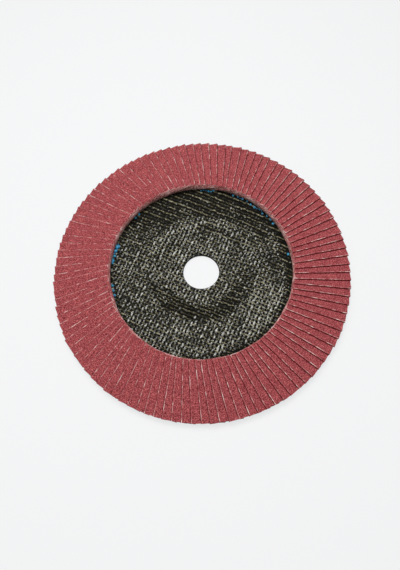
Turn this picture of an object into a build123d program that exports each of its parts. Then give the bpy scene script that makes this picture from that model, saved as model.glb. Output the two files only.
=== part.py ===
from build123d import *
from math import asin, cos, degrees, hypot, pi, radians, sin, sqrt, tan
import os

# A flap disc for a right-angle grinder: a pressed glass-fibre plate with a depressed hub,
# a ring of epoxy on its face, and a ring of abrasive cloth flaps that overlap like shingles.
# Z is the axis of the bore. The back of the hub lies at Z 0 and the flaps face +Z.
# Lengths are millimetres and angles are degrees.

# Backing plate
bore_radius = 11.115
hub_flat_radius = 21.5
hub_thickness = 1.8
hub_depth = 4.6
shoulder_radius = 32.7
plate_wall = 1.8
face_fall_angle = 4.6
hub_corner_bend = 5.0
shoulder_bend = 5.4
rim_edge_round = 0.5

# Flaps
disc_radius = 90.0
flap_overhang = 4.0
flap_count = 106
flap_length = 34.3
flap_width = 19.0
flap_thickness = 0.95
flap_spacing_gap = 0.05
flaps_per_node = 2

# Epoxy ring
glue_under_flap = 0.3
glue_climb = 0.7
glue_inner_margin = 1.7
glue_rim_margin = 2.5

rim_radius = disc_radius - flap_overhang


def face_height(radius):
    """Height of the plate's front face, which falls from the shoulder to the rim."""
    shoulder_height = hub_thickness + hub_depth
    return shoulder_height - (radius - shoulder_radius) * tan(radians(face_fall_angle))


def crossing(point_a, slope_a, point_b, slope_b):
    """Where two lines of the section meet, each given by a point and a slope."""
    (radius_a, height_a), (radius_b, height_b) = point_a, point_b
    radius = (height_b - height_a + slope_a * radius_a - slope_b * radius_b) / (slope_a - slope_b)
    return radius, height_a + slope_a * (radius - radius_a)


def make_backing_plate():
    """One pressed dish of even wall, revolved about the bore."""
    cone_slope = hub_depth / (shoulder_radius - hub_flat_radius)
    face_slope = -tan(radians(face_fall_angle))
    cone_drop = plate_wall * hypot(1, cone_slope)
    face_drop = plate_wall * hypot(1, face_slope)

    front_bore = (bore_radius, hub_thickness)
    front_hub = (hub_flat_radius, hub_thickness)
    front_shoulder = (shoulder_radius, hub_thickness + hub_depth)
    front_rim = (rim_radius, face_height(rim_radius))

    cone_back = (hub_flat_radius, hub_thickness - cone_drop)
    face_back = (shoulder_radius, hub_thickness + hub_depth - face_drop)
    back_rim = (rim_radius, face_height(rim_radius) - face_drop)
    back_shoulder = crossing(cone_back, cone_slope, face_back, face_slope)
    back_hub = crossing((bore_radius, 0), 0, cone_back, cone_slope)
    back_bore = (bore_radius, 0)

    corners_and_bends = [
        (front_bore, 0),
        (front_hub, hub_corner_bend),
        (front_shoulder, shoulder_bend + plate_wall),
        (front_rim, rim_edge_round),
        (back_rim, rim_edge_round),
        (back_shoulder, shoulder_bend),
        (back_hub, hub_corner_bend + plate_wall),
        (back_bore, 0),
    ]
    corners = [corner for corner, bend in corners_and_bends]
    bends = [bend for corner, bend in corners_and_bends]
    section = make_face(Plane.XZ * FilletPolyline(*corners, radius=bends, close=True))
    return revolve(section, axis=Axis.Z)


def flap_tilt(radius):
    """Tilt at which neighbouring flaps lie on each other with the spacing gap between them."""
    pitch = 2 * pi * radius / flap_count
    return asin((flap_thickness + flap_spacing_gap) / pitch)


def edge_offset(tilt):
    """How far the free edge and the foot stand to each side of the flap's radial line."""
    return (flap_width * cos(tilt) - flap_thickness * sin(tilt)) / 2


def flap_end(distance):
    """A cut end of the flap, upright across its radial line at a distance from the axis."""
    tilt = flap_tilt(distance)
    foot_height = face_height(hypot(distance, edge_offset(tilt))) + glue_under_flap
    middle_height = foot_height + (flap_width * sin(tilt) + flap_thickness * cos(tilt)) / 2
    end_plane = Plane(origin=(distance, 0, middle_height), x_dir=(0, 1, 0), z_dir=(1, 0, 0))
    return end_plane * Rot(Z=-degrees(tilt)) * Rectangle(flap_width, flap_thickness)


flap_outer_distance = sqrt(disc_radius**2 - edge_offset(flap_tilt(disc_radius)) ** 2)
flap_inner_distance = flap_outer_distance - flap_length


def make_flap():
    """One strip of abrasive cloth, steeper at its crowded inner end than at the rim."""
    return loft([flap_end(flap_inner_distance), flap_end(flap_outer_distance)], ruled=True)


def make_adhesive(flaps):
    """Epoxy ring on the plate's face, moulded round the feet of the flaps."""
    inner_radius = flap_inner_distance + glue_inner_margin
    outer_radius = rim_radius - glue_rim_margin
    depth = glue_under_flap + glue_climb
    section = Polyline(
        (inner_radius, face_height(inner_radius)),
        (outer_radius, face_height(outer_radius)),
        (outer_radius, face_height(outer_radius) + depth),
        (inner_radius, face_height(inner_radius) + depth),
        close=True,
    )
    ring = revolve(make_face(Plane.XZ * section), axis=Axis.Z)
    return ring.cut(*flaps)


flap = make_flap()
flap_pitch_angle = 360 / flap_count
flaps = [Rot(Z=index * flap_pitch_angle) * flap for index in range(flap_count)]

nodes = {"backing_plate": make_backing_plate(), "adhesive": make_adhesive(flaps)}
for first in range(0, flap_count, flaps_per_node):
    number = first // flaps_per_node + 1
    nodes[f"flap_pair_{number:02d}"] = Compound(children=flaps[first:first + flaps_per_node])

os.makedirs("parts", exist_ok=True)
for name, shape in nodes.items():
    export_step(shape, f"parts/{name}.step")
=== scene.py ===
import math
import random

import bpy
from mathutils import Matrix, Vector, noise
from mathutils.bvhtree import BVHTree


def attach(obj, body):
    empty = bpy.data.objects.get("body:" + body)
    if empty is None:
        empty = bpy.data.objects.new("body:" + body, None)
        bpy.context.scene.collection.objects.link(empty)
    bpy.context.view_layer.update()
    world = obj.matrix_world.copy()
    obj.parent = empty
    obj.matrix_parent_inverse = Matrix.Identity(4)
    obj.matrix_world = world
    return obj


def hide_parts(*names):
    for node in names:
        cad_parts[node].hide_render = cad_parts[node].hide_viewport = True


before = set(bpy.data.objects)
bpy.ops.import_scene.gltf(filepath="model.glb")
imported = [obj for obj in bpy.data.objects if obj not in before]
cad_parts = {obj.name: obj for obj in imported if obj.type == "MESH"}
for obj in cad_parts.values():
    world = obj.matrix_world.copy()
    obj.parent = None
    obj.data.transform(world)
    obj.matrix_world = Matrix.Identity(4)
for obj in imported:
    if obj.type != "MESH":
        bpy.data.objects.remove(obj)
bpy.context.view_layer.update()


# ---------------------------------------------------------------------------
# Camera
# Held about 260 mm over the bench, on the near side of the disc, looking down
# on it at about 71.5 degrees and turned a little about its own axis.

mm = 0.001
eye = Vector((-0.29, -95.85, 262.78)) * mm
aim = Vector((-1.30, -11.80, 11.50)) * mm
camera_data = bpy.data.cameras.new("camera")
camera_data.lens = 28.42
camera_data.sensor_width = 36.0
camera_data.clip_start = 0.01
camera_data.clip_end = 20.0
camera = bpy.data.objects.new("camera", camera_data)
bpy.context.scene.collection.objects.link(camera)
camera.location = eye
camera.rotation_mode = "QUATERNION"
turn = Matrix.Rotation(math.radians(-5.067), 3, "Z")
camera.rotation_quaternion = ((aim - eye).to_track_quat("-Z", "Y").to_matrix() @ turn).to_quaternion()
bpy.context.scene.camera = camera
bpy.context.scene.view_settings.view_transform = "Standard"


# ---------------------------------------------------------------------------
# Bench and light
# A white table top under one broad softbox overhead, in a white room that
# fills the shadows. The room and the table show white to the camera.

def nodes_of(name):
    """A new material and its node tree, with only the Principled shader in it."""
    material = bpy.data.materials.new(name)
    material.use_nodes = True
    return material, material.node_tree, material.node_tree.nodes["Principled BSDF"]


def seen_directly(tree):
    """One for camera, glossy and transmission rays, and nothing for the light that fills the room."""
    path = tree.nodes.new("ShaderNodeLightPath")
    first = tree.nodes.new("ShaderNodeMath")
    first.operation = "MAXIMUM"
    both = tree.nodes.new("ShaderNodeMath")
    both.operation = "MAXIMUM"
    tree.links.new(path.outputs["Is Camera Ray"], first.inputs[0])
    tree.links.new(path.outputs["Is Glossy Ray"], first.inputs[1])
    tree.links.new(first.outputs[0], both.inputs[0])
    tree.links.new(path.outputs["Is Transmission Ray"], both.inputs[1])
    return both.outputs[0]


world = bpy.data.worlds.new("white_room")
bpy.context.scene.world = world
world.use_nodes = True
room = world.node_tree
room.nodes["Background"].inputs["Color"].default_value = (1.0, 1.0, 1.0, 1.0)
room.nodes["Background"].inputs["Strength"].default_value = 0.14
backdrop = room.nodes.new("ShaderNodeBackground")
backdrop.inputs["Color"].default_value = (0.915, 0.92, 0.925, 1.0)
backdrop.inputs["Strength"].default_value = 1.0
shown = room.nodes.new("ShaderNodeLightPath")
choose = room.nodes.new("ShaderNodeMixShader")
room.links.new(shown.outputs["Is Camera Ray"], choose.inputs[0])
room.links.new(room.nodes["Background"].outputs[0], choose.inputs[1])
room.links.new(backdrop.outputs[0], choose.inputs[2])
room.links.new(choose.outputs[0], room.nodes["World Output"].inputs["Surface"])

bpy.ops.mesh.primitive_plane_add(size=6.0, location=(0, 0, -0.0003))
bench = bpy.context.object
bench.name = "bench"
white_table, tree, surface = nodes_of("white_table")
surface.inputs["Base Color"].default_value = (0.90, 0.905, 0.91, 1.0)
surface.inputs["Roughness"].default_value = 0.7
surface.inputs["Specular IOR Level"].default_value = 0.2
glow = tree.nodes.new("ShaderNodeEmission")
glow.inputs["Color"].default_value = (0.912, 0.918, 0.924, 1.0)
blend = tree.nodes.new("ShaderNodeMixShader")
glow_share = tree.nodes.new("ShaderNodeMath")
glow_share.operation = "MULTIPLY"
# the lamps light only the middle of the table, so its own white takes over further out
on_table = tree.nodes.new("ShaderNodeTexCoord")
away = tree.nodes.new("ShaderNodeVectorMath")
away.operation = "LENGTH"
tree.links.new(on_table.outputs["Object"], away.inputs[0])
fade = tree.nodes.new("ShaderNodeMapRange")
fade.inputs["From Min"].default_value = 0.28
fade.inputs["From Max"].default_value = 0.80
fade.inputs["To Min"].default_value = 0.76
fade.inputs["To Max"].default_value = 1.0
tree.links.new(away.outputs["Value"], fade.inputs["Value"])
tree.links.new(fade.outputs["Result"], glow_share.inputs[1])
tree.links.new(seen_directly(tree), glow_share.inputs[0])
tree.links.new(glow_share.outputs[0], blend.inputs[0])
tree.links.new(surface.outputs[0], blend.inputs[1])
tree.links.new(glow.outputs[0], blend.inputs[2])
tree.links.new(blend.outputs[0], tree.nodes["Material Output"].inputs["Surface"])
bench.data.materials.append(white_table)


def softbox(name, place, wide, deep, power):
    """A rectangular light that faces the disc."""
    lamp_data = bpy.data.lights.new(name, "AREA")
    lamp_data.shape = "RECTANGLE"
    lamp_data.size = wide
    lamp_data.size_y = deep
    lamp_data.energy = power
    lamp = bpy.data.objects.new(name, lamp_data)
    bpy.context.scene.collection.objects.link(lamp)
    lamp.location = place
    lamp.rotation_mode = "QUATERNION"
    lamp.rotation_quaternion = (-Vector(place)).to_track_quat("-Z", "Y")


softbox("wide_softbox", (-0.06, 0.0, 0.62), 0.80, 0.70, 2.4)
softbox("key_softbox", (-0.04, 0.12, 0.55), 0.22, 0.22, 1.65)


# ---------------------------------------------------------------------------
# Backing plate
# A dished plate of glass cloth and phenolic resin, hot pressed and cured to a
# hard black laminate. Its bore is moulded through a flat hub.

def object_pattern(tree, scale=(1, 1, 1), turn=0.0):
    """Object coordinates through a Mapping node, for a pattern fixed to the piece."""
    where = tree.nodes.new("ShaderNodeTexCoord")
    mapping = tree.nodes.new("ShaderNodeMapping")
    mapping.inputs["Scale"].default_value = scale
    mapping.inputs["Rotation"].default_value = (0.0, 0.0, turn)
    tree.links.new(where.outputs["Object"], mapping.inputs["Vector"])
    return mapping.outputs["Vector"]


def speckle(tree, vector, scale, detail=2.0, rough=0.5):
    """A noise pattern's value, with about scale features to the metre."""
    grains = tree.nodes.new("ShaderNodeTexNoise")
    grains.inputs["Scale"].default_value = scale
    grains.inputs["Detail"].default_value = detail
    grains.inputs["Roughness"].default_value = rough
    tree.links.new(vector, grains.inputs["Vector"])
    return grains.outputs["Fac"]


def graded(tree, value, stops):
    """Value run through a colour ramp with these (position, colour) stops."""
    ramp = tree.nodes.new("ShaderNodeValToRGB")
    ramp.color_ramp.elements[0].position = stops[0][0]
    ramp.color_ramp.elements[0].color = (*stops[0][1], 1.0)
    ramp.color_ramp.elements[1].position = stops[-1][0]
    ramp.color_ramp.elements[1].color = (*stops[-1][1], 1.0)
    for position, colour in stops[1:-1]:
        ramp.color_ramp.elements.new(position).color = (*colour, 1.0)
    tree.links.new(value, ramp.inputs["Fac"])
    return ramp.outputs["Color"]


def ranged(tree, value, low, high):
    """Value from 0 to 1 spread from low to high."""
    span = tree.nodes.new("ShaderNodeMapRange")
    span.inputs["To Min"].default_value = low
    span.inputs["To Max"].default_value = high
    tree.links.new(value, span.inputs["Value"])
    return span.outputs["Result"]


def raised(tree, surface, height, depth, strength=1.0):
    """Height as bump on the shader, depth metres from low to high."""
    bump = tree.nodes.new("ShaderNodeBump")
    bump.inputs["Strength"].default_value = strength
    bump.inputs["Distance"].default_value = depth
    tree.links.new(height, bump.inputs["Height"])
    tree.links.new(bump.outputs["Normal"], surface.inputs["Normal"])


cured_resin, tree, surface = nodes_of("cured_resin")
place = object_pattern(tree)
clouds = speckle(tree, place, 160.0, 4.0)
tree.links.new(
    graded(tree, clouds, [(0.35, (0.003, 0.003, 0.002)), (0.65, (0.008, 0.007, 0.004))]),
    surface.inputs["Base Color"],
)
tree.links.new(ranged(tree, speckle(tree, place, 900.0), 0.35, 0.7), surface.inputs["Roughness"])
surface.inputs["Specular IOR Level"].default_value = 0.06
raised(tree, surface, speckle(tree, place, 700.0, 3.0), 0.0005)

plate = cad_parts["backing_plate"]
plate.data.materials.clear()
plate.data.materials.append(cured_resin)


# ---------------------------------------------------------------------------
# Glass cloth, front and back
# The outer plies of the laminate: a plain weave of broad grey weft yarns and
# narrower straw-coloured warp yarns, wetted with resin and pressed into the dish.

yarn_pitch = 2.20 * mm
yarn_sides = 5
# how far the widest corners of a five-sided yarn reach from its middle, against its radius
widest_corner = 0.951
weave_turn = math.radians(-28.5)
# width, thickness, height over the resin and rise and fall of each yarn
binding_warp = (0.74 * mm, 0.38 * mm, 0.08 * mm, 0.16 * mm)
plain_warp = (0.72 * mm, 0.38 * mm, 0.02 * mm, 0.22 * mm)
flat_weft = (1.10 * mm, 0.42 * mm, -0.02 * mm, 0.22 * mm)
crown_height = 0.40 * mm
# a binding warp is kind 0 and a plain warp kind 1
weft_kind = 2
# more rows than either cloth has
most_rows = 200


def deselect():
    """Leaves edit mode, with nothing selected."""
    if bpy.context.object and bpy.context.object.mode != "OBJECT":
        bpy.ops.object.mode_set(mode="OBJECT")
    bpy.ops.object.select_all(action="DESELECT")


def select_only(*pieces):
    """Selects these pieces alone and makes the first of them active."""
    deselect()
    for piece in pieces:
        piece.select_set(True)
    bpy.context.view_layer.objects.active = pieces[0]


def finish_modifiers(piece):
    """Applies the piece's modifiers in their order."""
    select_only(piece)
    for modifier in list(piece.modifiers):
        bpy.ops.object.modifier_apply(modifier=modifier.name)


def yarn_length(width, height, lift, swing, steps):
    """One yarn over two crossings of the weave: a flattened ring drawn out along X, up and down."""
    deselect()
    bpy.ops.mesh.primitive_circle_add(vertices=yarn_sides, radius=1.0, rotation=(math.pi / 2, 0, math.pi / 2))
    piece = bpy.context.object
    bpy.ops.object.transform_apply(location=False, rotation=True, scale=False)
    bpy.ops.object.mode_set(mode="EDIT")
    bpy.ops.mesh.select_mode(type="EDGE")
    bpy.ops.mesh.select_all(action="SELECT")
    flattened = (1.0, width / 2 / widest_corner, height / 2)
    bpy.ops.transform.resize(value=flattened, center_override=(0.0, 0.0, 0.0))
    bpy.ops.transform.translate(value=(0.0, 0.0, lift + swing))
    for step in range(steps):
        before = swing * math.cos(2 * math.pi * step / steps)
        after = swing * math.cos(2 * math.pi * (step + 1) / steps)
        bpy.ops.mesh.extrude_region_move(
            TRANSFORM_OT_translate={"value": (2 * yarn_pitch / steps, 0.0, after - before)}
        )
    bpy.ops.mesh.select_all(action="SELECT")
    bpy.ops.mesh.normals_make_consistent(inside=False)
    bpy.ops.object.mode_set(mode="OBJECT")
    return piece


def placed(piece, turn=0.0, shift=(0.0, 0.0, 0.0)):
    """The piece's mesh turned about Z and shifted, its object left at the origin."""
    piece.data.transform(Matrix.Translation(shift) @ Matrix.Rotation(turn, 4, "Z"))
    piece.matrix_world = Matrix.Identity(4)
    return piece


def glass_cloth(name, inner_radius, outer_radius, steps, seed):
    """A flat round of plain weave with a hole for the bore, about the origin."""
    rows = []
    for row in range(2):
        warp = yarn_length(*(binding_warp, plain_warp)[row], steps)
        warp.data.materials.append(warp_yarn)
        rows.append(placed(warp, 0.0, (-row * yarn_pitch, row * yarn_pitch, 0.0)))
        weft = yarn_length(*flat_weft, steps)
        weft.data.materials.append(weft_yarn)
        rows.append(placed(weft, math.pi / 2, (row * yarn_pitch, -yarn_pitch - row * yarn_pitch, 0.0)))
    select_only(*rows)
    bpy.ops.object.join()
    cloth = bpy.context.object
    cloth.name = name
    count = math.ceil(outer_radius / yarn_pitch) + 2
    for axis in range(2):
        repeat = cloth.modifiers.new("repeat", "ARRAY")
        repeat.use_relative_offset = False
        repeat.use_constant_offset = True
        repeat.constant_offset_displace = [2 * yarn_pitch if axis == side else 0.0 for side in range(3)]
        repeat.count = count
        repeat.use_merge_vertices = True
        repeat.merge_threshold = 0.02 * mm
    finish_modifiers(cloth)
    middle = -(count // 2) * 2 * yarn_pitch
    placed(cloth, 0.0, (middle, middle, 0.0))
    bpy.ops.object.mode_set(mode="EDIT")
    bpy.ops.mesh.select_mode(type="FACE")
    bpy.ops.mesh.select_all(action="DESELECT")
    bpy.ops.object.mode_set(mode="OBJECT")
    for face in cloth.data.polygons:
        x, y = face.center.xy
        if face.material_index == 0:
            y = round(y / yarn_pitch) * yarn_pitch
        else:
            x = round(x / yarn_pitch) * yarn_pitch
        face.select = not inner_radius - 0.2 * mm < math.hypot(x, y) < outer_radius
    bpy.ops.object.mode_set(mode="EDIT")
    bpy.ops.mesh.delete(type="FACE")
    bpy.ops.mesh.select_all(action="SELECT")
    bpy.ops.mesh.fill_holes(sides=yarn_sides)
    bpy.ops.object.mode_set(mode="OBJECT")
    # each yarn has a tone of its own and is lightest on its crowns
    draw = random.Random(seed)
    tones = [[draw.gauss(0, 0.07) for _ in range(most_rows)] for _ in range(2)]
    kinds = [0] * len(cloth.data.vertices)
    for face in cloth.data.polygons:
        for corner in face.vertices:
            kinds[corner] = weft_kind if face.material_index else 0
    tone = cloth.data.attributes.new("tone", "FLOAT", "POINT")
    for vertex in cloth.data.vertices:
        is_weft = kinds[vertex.index] == weft_kind
        row = round((vertex.co.x if is_weft else vertex.co.y) / yarn_pitch)
        if not is_weft:
            kinds[vertex.index] = row % 2
        crown = vertex.co.z / crown_height
        tone.data[vertex.index].value = tones[is_weft][row + most_rows // 2] + 0.11 * crown
    placed(cloth, weave_turn)
    return cloth, kinds


plate_faces = BVHTree.FromPolygons(
    [vertex.co for vertex in plate.data.vertices], [face.vertices[:] for face in plate.data.polygons]
)


def smooth(value, low, high):
    """0 below low, 1 above high, and an even curve between."""
    share = min(max((value - low) / (high - low), 0.0), 1.0)
    return share * share * (3.0 - 2.0 * share)


def resin_and_painted_light(x, y):
    """How far the resin drowns the cloth, from -1 where it is starved to 1 where it lies thick, with painted
    shade added and painted light taken off by region.
    """
    reach = math.hypot(x, y)
    # one region after another: how much it darkens or pales the cloth, then where it begins and ends. far,
    # bend and edge are painted shade, edge being the painted shadow of the flaps' inner wall on the plate,
    # heavier on the right; near and hub are painted reflection and ridge a painted highlight on the far
    # shoulder; starved is cloth short of resin; right and groove darken the right side and a patch on the far
    # side of the bend
    far = 1.05 * smooth(y, 12 * mm, 40 * mm) * smooth(reach, 31 * mm, 38 * mm)
    bend = 1.1 * smooth(-y, 0.0, 15 * mm) * (1 - smooth(abs(reach - 27 * mm), 3 * mm, 8 * mm))
    right = 0.35 * smooth(x, 26 * mm, 42 * mm) * (1 - smooth(-y, 6 * mm, 20 * mm))
    edge = smooth(reach, 50 * mm, 54.4 * mm) * (0.5 + 1.2 * smooth(x, -20 * mm, 30 * mm))
    starved = 0.7 * (1.0 - smooth(math.hypot(x - 38 * mm, y + 24 * mm), 8 * mm, 24 * mm))
    near = 0.35 * smooth(-y, 28 * mm, 40 * mm)
    hub = 0.25 * (1.0 - smooth(reach, 27 * mm, 33 * mm))
    ridge = 0.35 * smooth(y, 0.0, 15 * mm) * (1 - smooth(abs(reach - 32.5 * mm), 1.5 * mm, 4 * mm))
    groove = 0.8 * smooth(y, 5 * mm, 18 * mm) * smooth(x, -6 * mm, 6 * mm)
    groove *= 1 - smooth(abs(reach - 28 * mm), 1.0 * mm, 2.5 * mm)
    return 0.08 + far + bend + right + edge + groove - starved - near - hub - ridge


# fixed, so that the yarns wander alike in every run
noise.seed_set(3)
# higher than any part of the disc, so that a ray from there meets the plate from outside
ray_height = 0.02
# how fine each wander of the yarns is, in patterns to the metre, and how far it goes in millimetres
wanders = ((60, 0.9), (300, 0.50), (700, 0.44))
# how fine and how strong the patches of thick and thin resin are, and the mottling of the yarns
patch_scale, patch_strength = 110, 0.5
mottle_scale, mottle_strength = 430, 0.26
resin_over_back = 0.1
# how far thick resin, with the painted shade counted in it, lowers each kind of yarn, how much it darkens it,
# and how much thin resin and painted light pale it
sinking = (-0.06 * mm, 0.08 * mm, 0.20 * mm)
darkening = (0.0, 0.24, 0.22)
baring_and_painted_light = (0.42, 0.42, 0.12)


def pressed_on(cloth, kinds, inner_radius, outer_radius, from_above, depth, seed):
    """Presses the cloth into the plate by depth, with the wander of hand-laid yarns."""
    start = Vector((seed * 0.37, seed * 0.11, 0.0))
    side = 1.0 if from_above else -1.0
    tone = cloth.data.attributes["tone"].data
    for vertex in cloth.data.vertices:
        wandered = vertex.co.copy()
        for scale, reach in wanders:
            wandered = wandered + noise.noise_vector(vertex.co * scale + start) * reach * mm
        flat = wandered.xy
        if flat.length < inner_radius:
            flat = flat.normalized() * inner_radius
        if flat.length > outer_radius:
            flat = flat.normalized() * outer_radius
        above = Vector((flat.x, flat.y, ray_height * side))
        spot, _, _, _ = plate_faces.ray_cast(above, Vector((0, 0, -side)))
        resin_and_light = resin_and_painted_light(flat.x, flat.y) if from_above else resin_over_back
        resin_and_light += patch_strength * noise.noise(vertex.co * patch_scale + start)
        kind = kinds[vertex.index]
        shade = -darkening[kind] * resin_and_light if resin_and_light > 0 else -baring_and_painted_light[kind] * resin_and_light
        tone[vertex.index].value += shade + mottle_strength * noise.noise(vertex.co * mottle_scale - start)
        vertex.co = (flat.x, flat.y, spot.z + vertex.co.z - side * (depth + sinking[kind] * resin_and_light))
    for face in cloth.data.polygons:
        face.use_smooth = True


def yarn_finish(name, dark, middle, pale, light, scale):
    """Glass yarn under a skin of resin: a bright fleck where filaments lie bare, the flecks also standing in
    as painted glints, and black under thick resin and painted shade.
    """
    material, tree, surface = nodes_of(name)
    fleck_strength = 1.15
    place = object_pattern(tree)
    flecks = tree.nodes.new("ShaderNodeTexVoronoi")
    flecks.inputs["Scale"].default_value = scale
    tree.links.new(place, flecks.inputs["Vector"])
    fleck = tree.nodes.new("ShaderNodeMath")
    fleck.operation = "MULTIPLY_ADD"
    fleck.inputs[1].default_value = fleck_strength
    tree.links.new(flecks.outputs["Color"], fleck.inputs[0])
    tree.links.new(ranged(tree, speckle(tree, place, 1600.0, 2.0, 0.6), -0.77, 0.70), fleck.inputs[2])
    tone = tree.nodes.new("ShaderNodeAttribute")
    tone.attribute_name = "tone"
    toned = tree.nodes.new("ShaderNodeMath")
    toned.operation = "ADD"
    tree.links.new(fleck.outputs[0], toned.inputs[0])
    tree.links.new(tone.outputs["Fac"], toned.inputs[1])
    tree.links.new(
        graded(tree, toned.outputs[0], [(0.30, dark), (0.58, middle), (0.80, pale), (1.0, light)]),
        surface.inputs["Base Color"],
    )
    tree.links.new(ranged(tree, speckle(tree, place, 1300.0), 0.25, 0.6), surface.inputs["Roughness"])
    surface.inputs["Specular IOR Level"].default_value = 0.2
    surface.inputs["Coat Weight"].default_value = 0.2
    surface.inputs["Coat Roughness"].default_value = 0.08
    raised(tree, surface, speckle(tree, place, 1500.0, 3.0), 0.0005)
    return material


grey_glass = ((0.003, 0.003, 0.002), (0.092, 0.093, 0.080), (0.34, 0.345, 0.315), (0.72, 0.72, 0.68))
straw_glass = ((0.003, 0.003, 0.002), (0.088, 0.077, 0.034), (0.19, 0.168, 0.082), (0.45, 0.42, 0.29))
weft_yarn = yarn_finish("weft_yarn", *grey_glass, 1400.0)
warp_yarn = yarn_finish("warp_yarn", *straw_glass, 1200.0)

# the yarns end a little outside the bore, and may wander out to the limits
bore_edge = 11.35 * mm
front_reach = 58.0 * mm
front_limit = 58.5 * mm
back_reach = 85.0 * mm
back_limit = 85.2 * mm
back_depth = 0.22 * mm

front_cloth, kinds = glass_cloth("glass_cloth_front", bore_edge, front_reach, 8, 1)
pressed_on(front_cloth, kinds, bore_edge, front_limit, True, 0.0, 1)
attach(front_cloth, "root")

back_cloth, kinds = glass_cloth("glass_cloth_back", bore_edge, back_reach, 4, 2)
back_cloth.data.transform(Matrix.Rotation(math.pi, 4, "X"))
pressed_on(back_cloth, kinds, bore_edge, back_limit, False, back_depth, 2)
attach(back_cloth, "root")


# ---------------------------------------------------------------------------
# Epoxy ring
# Blue epoxy poured on the plate, into which the feet of the flaps are set. It
# cures round every foot, so each flap has its own slot in it.

blue_epoxy, tree, surface = nodes_of("blue_epoxy")
place = object_pattern(tree)
tree.links.new(
    graded(tree, speckle(tree, place, 900.0, 3.0), [(0.35, (0.010, 0.11, 0.25)), (0.65, (0.08, 0.46, 0.74))]),
    surface.inputs["Base Color"],
)
tree.links.new(ranged(tree, speckle(tree, place, 350.0), 0.12, 0.38), surface.inputs["Roughness"])
raised(tree, surface, speckle(tree, place, 600.0), 0.0002)
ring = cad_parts["adhesive"]
ring.data.materials.clear()
ring.data.materials.append(blue_epoxy)

# arcs in degrees: where it has oozed out at the feet, where the drops crowd, and where they pool
oozed = [(4, 8), (28, 66), (77, 86), (129, 136), (158, 172), (185, 195)]
heavy = [(40, 50), (56, 62), (77, 86), (158, 172)]
pooled = [(158, 172)]
# the radii of a drop between two feet and of one at a foot in millimetres, and the growth of a pooled one
small_drop = (0.32, 0.52)
large_drop = (0.55, 0.95)
pooled_growth = 1.6
foot_radius = 55.25 * mm
foot_lead = 9.45
flap_count = 106
flap_step = 360.0 / flap_count
draw = random.Random(11)
drops = []
for foot in range(2 * flap_count):
    angle = (foot / 2 * flap_step + foot_lead) % 360
    if not any(start <= angle <= end for start, end in oozed):
        continue
    if foot % 2 and not any(start <= angle <= end for start, end in heavy):
        continue
    size = (draw.uniform(*small_drop) if foot % 2 else draw.uniform(*large_drop)) * mm
    if any(start <= angle <= end for start, end in pooled):
        size *= pooled_growth
    reach = foot_radius - draw.uniform(-0.2, 1.0) * mm
    x = reach * math.cos(math.radians(angle))
    y = reach * math.sin(math.radians(angle))
    floor_spot, _, _, _ = plate_faces.ray_cast(Vector((x, y, ray_height)), Vector((0, 0, -1)))
    centre = (x, y, floor_spot.z + 0.6 * size)
    deselect()
    bpy.ops.mesh.primitive_ico_sphere_add(subdivisions=2, radius=size, location=centre)
    drop = bpy.context.object
    bpy.ops.object.mode_set(mode="EDIT")
    bpy.ops.mesh.select_all(action="SELECT")
    bpy.ops.transform.resize(value=(draw.uniform(0.8, 1.3), draw.uniform(0.8, 1.3), draw.uniform(0.8, 1.1)))
    bpy.ops.transform.vertex_random(offset=0.09 * mm, seed=foot)
    bpy.ops.object.mode_set(mode="OBJECT")
    drops.append(drop)
select_only(*drops)
bpy.ops.object.join()
ooze = bpy.context.object
ooze.name = "epoxy_ooze"
bpy.ops.object.transform_apply(location=True, rotation=True, scale=True)
fuse = ooze.modifiers.new("fuse", "REMESH")
fuse.mode = "VOXEL"
fuse.voxel_size = 0.16 * mm
fuse.use_smooth_shade = True
soften = ooze.modifiers.new("soften", "SMOOTH")
soften.iterations = 2
finish_modifiers(ooze)
ooze.data.materials.clear()
ooze.data.materials.append(blue_epoxy)
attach(ooze, "root")


# ---------------------------------------------------------------------------
# Flaps
# 106 strips of resin-bonded abrasive cloth, stood in the epoxy one over the
# other. Each leans less towards the rim, and their cut edges fray.

flap_length = 34.3 * mm
flap_width = 19.0 * mm
flap_thickness = 0.95 * mm
# anything past these on a flat flap belongs to its free edge or to one of its cut ends
free_edge = -0.48 * flap_width
cut_end_reach = 0.49 * flap_length
# how far the cut face of the free edge slopes out under the grain
slant = 0.17 * mm
# where a flap's inner end stands, and the lean and middle height of its inner and outer ends
inner_distance = 55.22 * mm
inner_lean = math.radians(17.8)
outer_lean = math.radians(10.9)
inner_level = 8.185 * mm
outer_level = 4.345 * mm

abrasive_grain, tree, surface = nodes_of("abrasive_grain")
place = object_pattern(tree)
grit = speckle(tree, place, 2100.0, 2.0, 0.5)
tree.links.new(
    graded(
        tree,
        grit,
        [(0.34, (0.11, 0.013, 0.018)), (0.5, (0.370, 0.063, 0.072)), (0.66, (0.76, 0.195, 0.195))],
    ),
    surface.inputs["Base Color"],
)
surface.inputs["Roughness"].default_value = 0.8
surface.inputs["Specular IOR Level"].default_value = 0.2
raised(tree, surface, grit, 0.0006)

cloth_backing, tree, surface = nodes_of("cloth_backing")
place = object_pattern(tree)
tree.links.new(
    graded(tree, speckle(tree, place, 1200.0, 3.0), [(0.3, (0.30, 0.17, 0.12)), (0.7, (0.47, 0.31, 0.23))]),
    surface.inputs["Base Color"],
)
surface.inputs["Roughness"].default_value = 0.85
raised(tree, surface, speckle(tree, place, 2000.0), 0.0002)

cut_end, tree, surface = nodes_of("cut_end")
place = object_pattern(tree)
bare_cloth = graded(
    tree,
    speckle(tree, place, 950.0, 3.0, 0.75),
    [(0.42, (0.13, 0.025, 0.023)), (0.5, (0.53, 0.235, 0.20)), (0.57, (0.92, 0.62, 0.54))],
)
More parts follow.
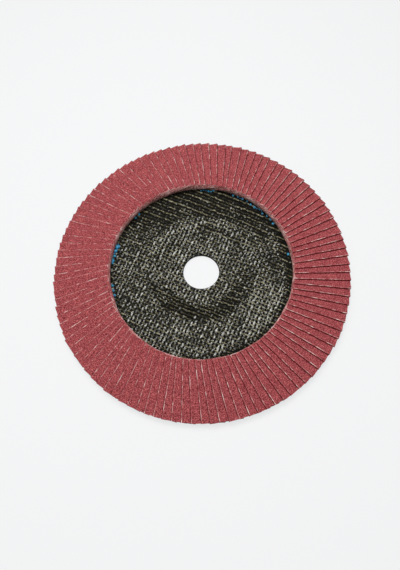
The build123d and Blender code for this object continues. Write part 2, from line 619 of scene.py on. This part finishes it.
# the cut ends darken towards the bottom as painted shade, to 0.15 of their colour at 3 mm height
height = tree.nodes.new("ShaderNodeSeparateXYZ")
tree.links.new(place, height.inputs[0])
painted_foot_shade = tree.nodes.new("ShaderNodeMapRange")
painted_foot_shade.inputs["From Min"].default_value = 3.0 * mm
painted_foot_shade.inputs["From Max"].default_value = 9.5 * mm
painted_foot_shade.inputs["To Min"].default_value = 0.15
painted_foot_shade.inputs["To Max"].default_value = 1.0
tree.links.new(height.outputs["Z"], painted_foot_shade.inputs["Value"])
foot_in_painted_shade = tree.nodes.new("ShaderNodeVectorMath")
foot_in_painted_shade.operation = "SCALE"
tree.links.new(bare_cloth, foot_in_painted_shade.inputs[0])
tree.links.new(painted_foot_shade.outputs["Result"], foot_in_painted_shade.inputs["Scale"])
tree.links.new(foot_in_painted_shade.outputs["Vector"], surface.inputs["Base Color"])
surface.inputs["Roughness"].default_value = 0.85
raised(tree, surface, speckle(tree, place, 2600.0), 0.00025)

# the cut sides of the flaps are coloured far darker than cut cloth, as painted shade for the shadow under
# each free edge, with pale fibres showing in flecks
cut_side_painted_dark, tree, surface = nodes_of("cut_side_painted_dark")
place = object_pattern(tree)
tree.links.new(
    graded(
        tree,
        speckle(tree, place, 1100.0, 3.0, 0.7),
        [(0.40, (0.090, 0.005, 0.007)), (0.62, (0.180, 0.015, 0.019)), (0.72, (0.60, 0.34, 0.30))],
    ),
    surface.inputs["Base Color"],
)
surface.inputs["Roughness"].default_value = 0.9
surface.inputs["Specular IOR Level"].default_value = 0.1

# the bevel along the top of each cut edge shows pale cut cloth, made paler still as a painted highlight
pale_arris_and_highlight, tree, surface = nodes_of("pale_arris_and_highlight")
place = object_pattern(tree)
tree.links.new(
    graded(
        tree,
        speckle(tree, place, 220.0, 4.0, 0.75),
        [(0.43, (0.35, 0.055, 0.063)), (0.53, (0.59, 0.23, 0.22)), (0.62, (0.95, 0.70, 0.66))],
    ),
    surface.inputs["Base Color"],
)
surface.inputs["Roughness"].default_value = 0.85

loose_thread, tree, surface = nodes_of("loose_thread")
place = object_pattern(tree)
tree.links.new(
    graded(tree, speckle(tree, place, 900.0), [(0.35, (0.55, 0.30, 0.26)), (0.65, (0.85, 0.70, 0.63))]),
    surface.inputs["Base Color"],
)
surface.inputs["Roughness"].default_value = 0.9

flap_finishes = [abrasive_grain, cloth_backing, cut_end, cut_side_painted_dark, pale_arris_and_highlight, loose_thread]
grain_slot, backing_slot, end_slot, side_slot, arris_slot, thread_slot = range(6)
# this many flaps are cut, no two alike, and copied in turn round the ring
pattern_count = 7
# loose threads at each cut of a flap
free_edge_threads = 7
inner_end_threads = 12
outer_end_threads = 4


def pick_edges(piece, wanted):
    """Edit mode on the piece, with only the edges selected whose ends are both wanted."""
    select_only(piece)
    bpy.ops.object.mode_set(mode="EDIT")
    bpy.ops.mesh.select_mode(type="EDGE")
    bpy.ops.mesh.select_all(action="DESELECT")
    bpy.ops.object.mode_set(mode="OBJECT")
    for edge in piece.data.edges:
        edge.select = all(wanted(piece.data.vertices[end].co) for end in edge.vertices)
    bpy.ops.object.mode_set(mode="EDIT")


def curl(along):
    """How far the free edge lifts off the flap below, more towards the rim."""
    return (0.20 + 0.28 * along / flap_length) * mm


def thread(draw, x, y, z, along):
    """A stub of cotton lying out of a cut edge."""
    turn = math.radians(along + draw.uniform(-35, 35))
    bpy.ops.mesh.primitive_cone_add(
        vertices=3,
        radius1=draw.uniform(0.08, 0.14) * mm,
        radius2=0.02 * mm,
        depth=draw.uniform(0.5, 1.1) * mm,
        location=(x, y, z),
        rotation=(draw.uniform(1.3, 1.8), 0.0, turn + math.pi / 2),
    )
    bpy.context.object.active_material_index = thread_slot
    bpy.ops.object.material_slot_assign()


def flat_flap(number):
    """A flat flap about the origin: foot at +Y, free edge at -Y, grain side up, threads loose at its cuts."""
    draw = random.Random(40 + number)
    deselect()
    bpy.ops.mesh.primitive_grid_add(x_subdivisions=10, y_subdivisions=3, size=1.0)
    piece = bpy.context.object
    piece.name = "flat_flap"
    piece.scale = (flap_length, flap_width, 1.0)
    bpy.ops.object.transform_apply(location=False, rotation=False, scale=True)
    # one row is brought close behind the free edge, so that only the edge itself curls
    for vertex in piece.data.vertices:
        if -0.3 * flap_width < vertex.co.y < 0.0:
            vertex.co.y = -0.38 * flap_width
        if vertex.co.y < free_edge:
            vertex.co.y += draw.uniform(-0.07, 0.07) * mm
            vertex.co.z += curl(vertex.co.x)
        if abs(vertex.co.x) > cut_end_reach:
            vertex.co.x += draw.uniform(-0.10, 0.10) * mm
    wall = piece.modifiers.new("thickness", "SOLIDIFY")
    wall.thickness = flap_thickness
    wall.offset = 0.0
    finish_modifiers(piece)
    for vertex in piece.data.vertices:
        if vertex.co.y < free_edge and vertex.co.z < 0:
            vertex.co.y -= slant
    for finish in flap_finishes:
        piece.data.materials.append(finish)
    for face in piece.data.polygons:
        if face.normal.z > 0.5:
            face.material_index = grain_slot
        elif face.normal.z < -0.5:
            face.material_index = backing_slot
        elif face.normal.x < -0.7:
            face.material_index = end_slot
        else:
            face.material_index = side_slot
    pick_edges(piece, lambda end: end.z > 0 and end.y < free_edge)
    bpy.ops.mesh.bevel(offset=0.23 * mm, segments=1, material=arris_slot)
    pick_edges(piece, lambda end: end.z > 0 and end.x < -cut_end_reach)
    bpy.ops.mesh.bevel(offset=0.24 * mm, segments=1, material=arris_slot)
    for _ in range(free_edge_threads):
        along = draw.uniform(-0.48, 0.48) * flap_length
        thread(draw, along, -0.495 * flap_width, 0.45 * flap_thickness + curl(along), 0.0)
    for _ in range(inner_end_threads):
        across = draw.uniform(-0.5, 0.5) * flap_width
        up = draw.uniform(-0.4, 0.4) * flap_thickness
        thread(draw, -0.5 * flap_length, across, up, 90.0)
    for _ in range(outer_end_threads):
        across = draw.uniform(-0.5, 0.0) * flap_width
        up = draw.uniform(-0.4, 0.4) * flap_thickness
        thread(draw, 0.5 * flap_length, across, up, 90.0)
    bpy.ops.object.mode_set(mode="OBJECT")
    return piece


def stand_flap(pattern, number, draw):
    """A copy of a flat flap, slid a little in its own plane, twisted and stood at its place in the ring."""
    piece = pattern.copy()
    piece.data = pattern.data.copy()
    bpy.context.scene.collection.objects.link(piece)
    slide = Matrix.Translation((draw.gauss(0, 0.12) * mm, draw.gauss(0, 0.25) * mm, 0.0))
    askew = Matrix.Rotation(math.radians(draw.gauss(0, 0.3)), 4, "Z")
    piece.data.transform(slide @ askew)
    for vertex in piece.data.vertices:
        share = vertex.co.x / flap_length + 0.5
        lean = inner_lean + (outer_lean - inner_lean) * share
        level = inner_level + (outer_level - inner_level) * share
        x, y, z = vertex.co
        vertex.co = (
            inner_distance + flap_length / 2 + x,
            y * math.cos(lean) + z * math.sin(lean),
            level - y * math.sin(lean) + z * math.cos(lean),
        )
    placed(piece, math.radians(360.0 * number / flap_count))
    return piece


patterns = [flat_flap(number) for number in range(pattern_count)]
draw = random.Random(7)
for pair in range(flap_count // 2):
    first = stand_flap(patterns[(2 * pair) % pattern_count], 2 * pair, draw)
    second = stand_flap(patterns[(2 * pair + 1) % pattern_count], 2 * pair + 1, draw)
    select_only(first, second)
    bpy.ops.object.join()
    flaps = bpy.context.object
    flaps.name = "cloth_flaps_%02d" % (pair + 1)
    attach(flaps, "root")
    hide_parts("flap_pair_%02d" % (pair + 1))
for pattern in patterns:
    bpy.data.objects.remove(pattern)
deselect()
